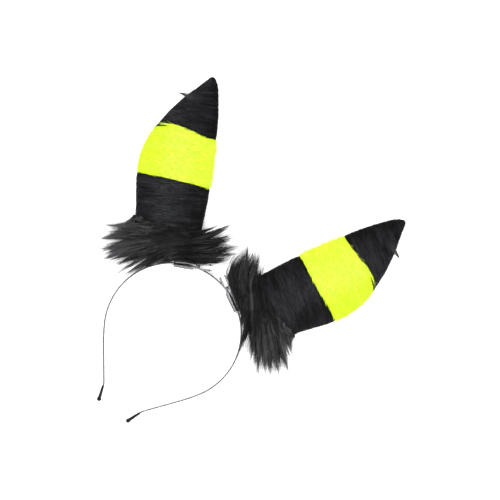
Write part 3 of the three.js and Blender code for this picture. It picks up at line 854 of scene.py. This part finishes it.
ears = {}
for side, hand in SIDES.items():
    ear = EarPlace(hand)
    skins = {panel["node"]: padded_skin(ear, f"{panel['node']}_{side}") for panel in PANELS}
    all_points, all_faces = [], []
    for skin in skins.values():
        all_faces.extend(tuple(i + len(all_points) for i in face) for face in skin.faces)
        all_points.extend(Vector(p) for p in skin.points)
    whole = BVHTree.FromPolygons(all_points, all_faces)
    ears[side] = {"place": ear, "tree": whole, "lower": skins["ear_lower"]}
    for number, panel in enumerate(PANELS):
        rng = np.random.default_rng(PILE_SEED + 10 * number + (hand > 0))
        skin = skins[panel["node"]]
        count = panel["strands"]
        roots, normals = skin.scatter(rng, pile_density(ear, skin), count)
        across, along = ear.measure(roots)
        to_top, to_bottom = seam_distances(ear, skin, across, along)
        top, bottom = ease(to_top, SEAM_REACH, 0), ease(to_bottom, SEAM_REACH, 0)
        wave = 1 + brushed_noise(rng, across, along, **LAP_WAVE)
        lap = panel["lap_top"] * top - panel["lap_bottom"] * bottom * wave
        bunch = brushed_noise(rng, along, across, **PILE_BUNCHES)
        ragged = rng.normal(0, PILE_SPREAD + panel["ragged"] * top)
        tilts = np.radians(panel["tilt"] + lap + bunch + ragged)
        lines, ups = pile_lines(rng, ear, whole, roots, normals, panel["length"] * MM, tilts, 1.0)
        brushed = along - math.tan(math.radians(panel["tilt"])) * across
        streak = sum(brushed_noise(rng, brushed, across, **row) for row in PILE_STREAKS)
        # Painted light in the tones: lighter on the crown of the padded face, with painted shade where it
        # turns down at its edges and near its seams
        tones = np.interp(across + panel["length"] / 2 * MM, TONE_PLACES, panel["tones"])
        tones += panel["contrast"] * (streak + rng.normal(0, TONE_SPREAD, count))
        painted_rim_shade = panel["painted_rim_shade"] * ease(normals[:, 2], *RIM_SHADE_FACING)
        tones -= painted_rim_shade + panel["seam_shade"] * np.maximum(top, bottom)
        fur = Furry(skin, SKIN_TONE)
        fur.add(lines, ups, PILE_HALF_WIDTHS * rng.uniform(*PILE_WIDTHS, (count, 1)), tones)
        extra = []
        for wisp in WISPS:
            if wisp["node"] == panel["node"]:
                extra.append((*wisp_lines(rng, ear, whole, wisp), wisp["tone"], WISP_WIDTH))
        if panel["node"] == "ear_tip":
            extra.append((*spike_lines(rng, ear, whole), SPIKE["tone"], WISP_WIDTH))
        if panel["fuzz"]:
            extra.append((*fuzz_lines(rng, ear, skin, panel["fuzz"]), FUZZ_TONE, FUZZ_WIDTH))
        for lines, ups, tone, width in extra:
            halves = np.tile(width * PILE_HALF_WIDTHS, (len(lines), 1))
            fur.add(lines, ups, halves, tone + rng.normal(0, LOOSE_SPREAD, len(lines)))
        plush_name = f"{panel['node']}_{side}".replace("ear_", "plush_")
        plush_panel = fur.piece(plush_name, plush[panel["slot"]])
        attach(plush_panel, "headband")
        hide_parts(f"{panel['node']}_{side}")


# Fur ruffs: a band of long black fur sewn round the foot of each ear. Its hair parts near the inner edge
# and falls away to both sides in pointed locks, over the ear's face and the wire. None of it hangs inside
# the hoop or between the leaves of a clip, where the lever swings.
BACKING_TOP = 12 * MM
BACKING_RISE = 5 * MM
RISE_PLACES = (20 * MM, 40 * MM)
BACKING_REACH = 1.5 * MM
BACKING_THICKNESS = 0.9 * MM
BACKING_TONE = 0.1
RUFF_SEEDS = {"right": 13, "left": 116}
RUFF_STRANDS = 8300
RUFF_STATIONS = np.array((0, 0.22, 0.48, 0.76, 1.0))
RUFF_HALF_WIDTHS = np.array((0.18, 0.18, 0.14, 0.08)) * MM
RUFF_WIDTHS = (0.75, 1.15)
RUFF_BACK_FACING = -0.4
RUFF_BACK_SHARE = 0.12
THIN_CORNER = {"share": 0.6, "across": (20, 32), "along": (2, 8)}
PARTING = -9
PARTING_BLUR = 3.5
# Locks: how closely and how soon their hairs draw together, how far they reach, and the notches between
RUFF_LOCKS = 120
LOCK_GATHER = (0.78, 0.97)
LOCK_TAPER = 0.85
LOCK_REACH = (0.74, 1.12)
LOCK_NOTCHES = {"strength": 0.2, "width": 3, "length": 60}
LOCK_APART = 100 * MM
HAIR_LEAST = 0.34
HAIR_RANGE = 0.7
HAIR_SKEW = (1.1, 1.9)
# Stray hairs between the locks, which on the inner side are few at the foot of the ear
STRAY_SHARE = 0.1
STRAY_PLACES = (-4, 8)
STRAY_SPREAD = 7
STRAY_REACH = (0.72, 1.12)
STRAY_WIDTH = 0.55
STRAY_GATHER = 0.5
# Room that the hair leaves: it is cut back from the hoop and from the clip's gap, and lifted off the rest
TRIMS = 14
TRIM_SHARE = 0.88
CLIP_GAP = {"along": (-14 * MM, 23 * MM), "out": (-9 * MM, 1.2 * MM)}
WIRE_CLEARANCE = 3.3 * MM
WIRE_REACH = 5 * MM
EAR_CLEARANCE = 0.3
LOFT_CLEARANCE = 0.55
ROOT_DEPTH = 0.3 * MM
FLOOR_SPREAD = 0.6
# Fall of the hair by its root's place along the ear: headings in degrees from straight outwards, and
# lengths in millimetres. Outside the parting, roots near to it and far from it have headings of their own.
OUTER_FALL = {
    "along": (-12, -5, 2, 8, 12, 18),
    "near": (-42, -32, -18, -4, 0, 0),
    "far": (-30, -22, -14, -4, 0, 0),
    "length": (34, 35, 31, 21, 12, 4),
}
OUTER_PLACES = (6, 28)
OUTER_CURL = -6
INNER_FALL = {
    "right": {
        "along": (-12, -5, 2, 8, 12),
        "heading": (203, 181, 161, 150, 143),
        "curl": (-120, -74, -39, -22, -12),
        "length": (38, 38, 36, 32, 27),
    },
    "left": {
        "along": (-12, -5, 2, 8, 12),
        "heading": (191, 176, 161, 150, 146),
        "curl": (-66, -29, -11, -12, -10),
        "length": (40, 41, 36, 32, 28),
    },
}
HEADING_SPREAD = 4
CURL_SPREAD = 5
# Bow of the hair and height of its tips in millimetres: at its lowest layer, and from there to its highest
UNDER_FACING = -0.2
RUFF_LAYERS = {
    "loft": {"over": (1.0, 4.0), "under": (0.3, 0.0)},
    "tip": {"over": (1.5, 7.0), "under": (0.6, 0.8)},
}
# Tones of the hair by its root's place across the ear, and how layers, locks, tufts and hairs differ. The
# layers' difference is painted shade: hairs that lie lower are darker, under the hair above them
RUFF_TONES = {"across": (-14, -8, 8, 16, 27, 42), "tone": (0.13, 0.08, 0.055, 0.14, 0.50, 0.50)}
LAYER_SHADE = 0.12
LOCK_TONES = 0.25
RUFF_TUFTS = {"strength": 0.8, "width": 1.2, "length": 10}
TUFT_SLOPE = 0.36
HAIR_TONES = 0.5

black_fur, _ = pile_material(
    "black_fur",
    dark=(0.0016, 0.0017, 0.002),
    light=(0.12, 0.12, 0.125),
    root_shade=0.3,
    patch_shade=0.75,
    shine=0.12,
)

wire_tree = KDTree(len(wire_line))
for number, point in enumerate(wire_line):
    wire_tree.insert(Vector(point * (1, 1, 0)), number)
wire_tree.balance()


def backing_sleeve(ear, lower):
    """The sewn band under the fur: the foot of the ear's own skin, grown outwards and given a thickness."""
    shell = bmesh.new()
    corners = [shell.verts.new(p) for p in lower.points]
    for face in lower.faces:
        outline = lower.points[list(face)]
        normal = unit(np.cross(outline[1] - outline[0], outline[2] - outline[0]))
        across, along = ear.measure(outline.mean(axis=0))
        top = BACKING_TOP + BACKING_RISE * ease(across, *RISE_PLACES)
        if along < top and normal @ ear.along > -SEAM_FACING:
            shell.faces.new([corners[i] for i in face])
    bmesh.ops.delete(shell, geom=[v for v in shell.verts if not v.link_faces], context="VERTS")
    shell.normal_update()
    grown = [v.co + v.normal * (PILE_DEPTH + BACKING_REACH) for v in shell.verts]
    for vertex, place in zip(shell.verts, grown):
        vertex.co = place
    walls = 2 * len(shell.faces)
    bmesh.ops.solidify(shell, geom=shell.faces[:], thickness=BACKING_THICKNESS)
    shell.verts.index_update()
    points = np.array([v.co for v in shell.verts])
    points[:, 2] = np.maximum(points[:, 2], FLOOR_GAP)
    faces = [tuple(v.index for v in f.verts) for f in shell.faces]
    shell.free()
    # The faces along the rims come last, in an order that can differ from run to run
    return Skin(points, faces[:walls] + sorted(faces[walls:]))


def fall(rows, column, along):
    """A column of the hair's fall at places along the ear."""
    return np.interp(along, rows["along"], rows[column])


def ruff_lines(ear, hairs):
    """Long hairs that leave their roots upwards, sweep along their heading and bend over to their tips."""
    stations = []
    for share in RUFF_STATIONS:
        turn = np.radians(hairs["heading"] + hairs["curl"] * share / 2)
        across = hairs["across"] + hairs["length"] * share * np.cos(turn)
        along = hairs["along"] + hairs["length"] * share * np.sin(turn)
        bow = 4 * share * (1 - share) * hairs["loft"]
        height = hairs["height"] + (hairs["tip"] - hairs["height"]) * share + bow
        stations.append(ear.at(across * MM, along * MM, height * MM))
    return np.stack(stations, axis=1)


def inside_hoop(points):
    """Which places lie inside the round crown of the hoop, where no hair hangs."""
    across = points[..., 0] / HOOP_HALF_WIDTH
    along = (points[..., 1] - CROWN_Y + HOOP_RISE) / HOOP_RISE
    return across**2 + along**2 < 1


def between_leaves(points, hand):
    """Which places lie between the leaves of a clip, where its lever swings and no hair hangs."""
    across, up = points[..., 0] * hand - PIN_PLACE[0], points[..., 1] - PIN_PLACE[1]
    along = across * math.cos(CLIP_SLOPE) - up * math.sin(CLIP_SLOPE)
    out = across * math.sin(CLIP_SLOPE) + up * math.cos(CLIP_SLOPE)
    start, end = CLIP_GAP["along"]
    near, far = CLIP_GAP["out"]
    return (along > start) & (along < end) & (out > near) & (out < far)


def kept_clear(rng, tree, lines, loft):
    """Lifts hairs that would sink into the ear, the wire or the floor."""
    flat = lines.reshape(-1, 3)
    ground = skin_height(tree, flat).reshape(lines.shape[:2])
    over = (EAR_CLEARANCE + loft[:, None] * LOFT_CLEARANCE * np.sqrt(RUFF_STATIONS)) * MM
    over[:, 0] = -ROOT_DEPTH
    clear = np.where(ground > 0, ground + PILE_DEPTH + over, 0)
    near = np.array([wire_tree.find(Vector((x, y, 0)))[2] for x, y, _ in flat]).reshape(lines.shape[:2])
    clear = np.maximum(clear, np.where(near < WIRE_REACH, WIRE_CLEARANCE, 0))
    clear = np.maximum(clear, FLOOR_GAP + rng.uniform(0, FLOOR_SPREAD, (len(lines), 1)) * MM)
    lines[..., 2] = np.maximum(lines[..., 2], clear)
    return lines


for side, seed in RUFF_SEEDS.items():
    ear, tree = ears[side]["place"], ears[side]["tree"]
    rng = np.random.default_rng(seed)
    backing = backing_sleeve(ear, ears[side]["lower"])
    depth = np.array([tree.find_nearest(Vector(p))[3] for p in backing.middles])
    density = np.where(backing.normals[:, 2] < RUFF_BACK_FACING, RUFF_BACK_SHARE, 1.0)
    density *= depth > BACKING_REACH
    across, along = (value / MM for value in ear.measure(backing.middles))
    corner = ease(across, *THIN_CORNER["across"]) * ease(along, *THIN_CORNER["along"])
    density *= 1 - THIN_CORNER["share"] * corner
    roots, normals = backing.scatter(rng, density, RUFF_STRANDS)
    across, along = (value / MM for value in ear.measure(roots))
    inner = across + rng.normal(0, PARTING_BLUR, RUFF_STRANDS) < PARTING
    layer = rng.random(RUFF_STRANDS)
    under = normals[:, 2] < UNDER_FACING
    inner_fall = INNER_FALL[side]
    near = fall(OUTER_FALL, "near", along)
    far = fall(OUTER_FALL, "far", along)
    outer_heading = near + (far - near) * ease(across, *OUTER_PLACES)
    heading = np.where(inner, fall(inner_fall, "heading", along), outer_heading)
    curl = np.where(inner, fall(inner_fall, "curl", along), OUTER_CURL)
    full = np.where(inner, fall(inner_fall, "length", along), fall(OUTER_FALL, "length", along))
    hairs = {
        "across": across,
        "along": along,
        "height": roots[:, 2] / MM,
        "heading": heading + rng.normal(0, HEADING_SPREAD, RUFF_STRANDS),
        "curl": curl + rng.normal(0, CURL_SPREAD, RUFF_STRANDS),
    }
    for name, row in RUFF_LAYERS.items():
        over, below = (lowest + rise * layer for lowest, rise in (row["over"], row["under"]))
        hairs[name] = np.where(under, below, over)
    guides = rng.choice(RUFF_STRANDS, RUFF_LOCKS, replace=False)
    apart = LOCK_APART * np.multiply.outer(inner, (0, 0, 1))
    finder = KDTree(RUFF_LOCKS)
    for number, guide in enumerate(guides):
        finder.insert(Vector(roots[guide] + apart[guide]), number)
    finder.balance()
    lock = np.array([finder.find(Vector(p))[1] for p in roots + apart])
    led = {name: values[guides][lock] for name, values in hairs.items()}
    stray = rng.random(RUFF_STRANDS) < STRAY_SHARE * np.where(inner, ease(along, *STRAY_PLACES), 1)
    hairs["heading"] += np.where(stray, rng.normal(0, STRAY_SPREAD, RUFF_STRANDS), 0)
    gather = np.where(stray, STRAY_GATHER, rng.uniform(*LOCK_GATHER, RUFF_STRANDS))
    gather = gather[:, None] * RUFF_STATIONS**LOCK_TAPER
    reach = rng.uniform(*LOCK_REACH, RUFF_LOCKS)
    leaders = {name: values[guides] for name, values in hairs.items()}
    ends = ruff_lines(ear, leaders | {"length": full[guides]})[:, -1]
    end_across, end_along = (value / MM for value in ear.measure(ends))
    reach += brushed_noise(rng, end_along, end_across, **LOCK_NOTCHES)
    length = full * reach[lock] * (HAIR_LEAST + HAIR_RANGE * rng.beta(*HAIR_SKEW, RUFF_STRANDS))
    length = np.where(stray, full * rng.uniform(*STRAY_REACH, RUFF_STRANDS), length)
    for _ in range(TRIMS):
        own_lines = ruff_lines(ear, hairs | {"length": length})
        led_lines = ruff_lines(ear, led | {"length": length})
        lines = own_lines + gather[..., None] * (led_lines - own_lines)
        middles = (lines[:, 1:-1] + lines[:, 2:]) / 2
        places = np.concatenate([lines[:, 2:], middles], axis=1)
        hanging = inside_hoop(lines[:, 2:]).any(axis=1) | between_leaves(places, ear.hand).any(axis=1)
        length = np.where(hanging, TRIM_SHARE * length, length)
    lines = kept_clear(rng, tree, lines, hairs["loft"])
    ups = np.broadcast_to((0.0, 0.0, 1.0), lines.shape)
    # Painted shade: hairs in lower layers are darker, and those lifted higher are lighter
    tones = np.interp(across, RUFF_TONES["across"], RUFF_TONES["tone"]) + LAYER_SHADE * (layer - 0.5)
    tuft = brushed_noise(rng, along + TUFT_SLOPE * across, across, **RUFF_TUFTS)
    shade = LOCK_TONES * rng.normal(size=RUFF_LOCKS)[lock] + tuft
    tones *= np.exp(shade + rng.normal(0, HAIR_TONES, RUFF_STRANDS))
    fur = Furry(backing, BACKING_TONE)
    thin = np.where(stray, STRAY_WIDTH, 1) * rng.uniform(*RUFF_WIDTHS, RUFF_STRANDS)
    fur.add(lines, ups, RUFF_HALF_WIDTHS * thin[:, None], tones)
    fur_ruff = fur.piece(f"fur_ruff_{side}", black_fur)
    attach(fur_ruff, "headband")
    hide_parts(f"ear_ruff_{side}")


# Studio: a pale seamless floor under broad soft lights, seen from straight above with the headband
# turned on the floor as it lies in the picture.
FLOOR_SIZE = 6.0
VIEW_TURN = math.radians(36.908)
VIEW_CENTRE = (11.2 * MM, 40.3 * MM)
VIEW_WIDTH = 425 * MM
LENS = 100
SENSOR = 36
LIGHTS = (
    {"name": "key", "place": (-1.1, 1.0, 1.3), "size": 1.2, "power": 40},
    {"name": "right_fill", "place": (1.4, 0.1, 1.1), "size": 1.2, "power": 22},
    {"name": "front_fill", "place": (-0.1, -1.5, 1.1), "size": 1.2, "power": 18},
)

half = FLOOR_SIZE / 2
floor_corners = [(-half, -half, 0), (half, -half, 0), (half, half, 0), (-half, half, 0)]
floor_mesh = bpy.data.meshes.new("floor")
floor_mesh.from_pydata(floor_corners, [], [(0, 1, 2, 3)])
floor_material, _, floor_shader = new_material("floor_paper")
floor_shader.inputs["Base Color"].default_value = (0.95, 0.95, 0.95, 1)
floor_shader.inputs["Roughness"].default_value = 0.9
floor_shader.inputs["Specular IOR Level"].default_value = 0.1
floor_shader.inputs["Emission Color"].default_value = (1, 1, 1, 1)
floor_shader.inputs["Emission Strength"].default_value = 0.28
floor_mesh.materials.append(floor_material)
floor = placed("floor", floor_mesh)

for row in LIGHTS:
    light = bpy.data.lights.new(row["name"], "AREA")
    light.size = row["size"]
    light.energy = row["power"]
    lamp = placed(row["name"], light)
    lamp.location = row["place"]
    lamp.rotation_euler = Vector(row["place"]).to_track_quat("Z", "Y").to_euler()

world = bpy.data.worlds.new("studio")
bpy.context.scene.world = world
world.use_nodes = True
world.node_tree.nodes["Background"].inputs["Color"].default_value = (1, 1, 1, 1)
world.node_tree.nodes["Background"].inputs["Strength"].default_value = 0.95
bpy.context.scene.view_settings.view_transform = "Standard"

camera_data = bpy.data.cameras.new("camera")
camera_data.lens = LENS
camera_data.sensor_width = SENSOR
camera = placed("camera", camera_data)
camera.location = (*VIEW_CENTRE, VIEW_WIDTH * LENS / SENSOR)
camera.rotation_euler = (0, 0, VIEW_TURN)
bpy.context.scene.camera = camera
